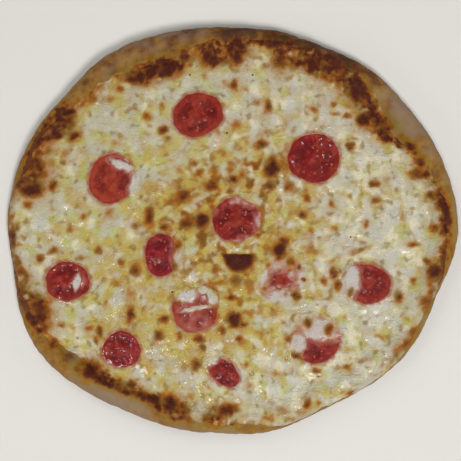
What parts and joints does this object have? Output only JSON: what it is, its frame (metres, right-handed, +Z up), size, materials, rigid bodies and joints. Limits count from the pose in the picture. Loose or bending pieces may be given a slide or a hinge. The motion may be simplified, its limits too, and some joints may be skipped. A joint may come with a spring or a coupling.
{
  "type": "margherita pizza",
  "caption": "Whole uncut round pizza to set on a plate or board: thin browned dough base with a raised rim, tomato sauce, melted mozzarella and slices of small tomato sunk into it.",
  "frame": {"origin": "on the surface that the pizza lies on, under the middle of its outline", "axes": "+X along the longer diameter, +Y across it along the shorter diameter, +Z up from the underside to the toppings"},
  "size_m": [0.2997, 0.2706, 0.017],
  "materials": {
    "baked_dough": "matte baked dough, pale and floury at the outer edge, golden to dark brown along the crest, with scorched blisters",
    "tomato_sauce": "thin cooked tomato sauce, orange red, moist, browned where it shows at the rim",
    "melted_cheese": "melted mozzarella, creamy white to oily yellow, wet sheen, with many golden to dark brown baked spots and blisters",
    "tomato": "glossy wet red tomato flesh with paler walls, darker skin and pale seeds in gel"
  },
  "bodies": {
    "root": {"pizza_crust": "baked_dough", "tomato_sauce": "tomato_sauce", "melted_mozzarella": "melted_cheese", "tomato_slice_01": "tomato", "tomato_slice_02": "tomato", "tomato_slice_03": "tomato", "tomato_slice_04": "tomato", "tomato_slice_05": "tomato", "tomato_slice_06": "tomato", "tomato_slice_07": "tomato", "tomato_slice_08": "tomato", "tomato_slice_09": "tomato", "tomato_slice_10": "tomato", "tomato_slice_11": "tomato", "tomato_slice_12": "tomato"}
  },
  "joints": []
}
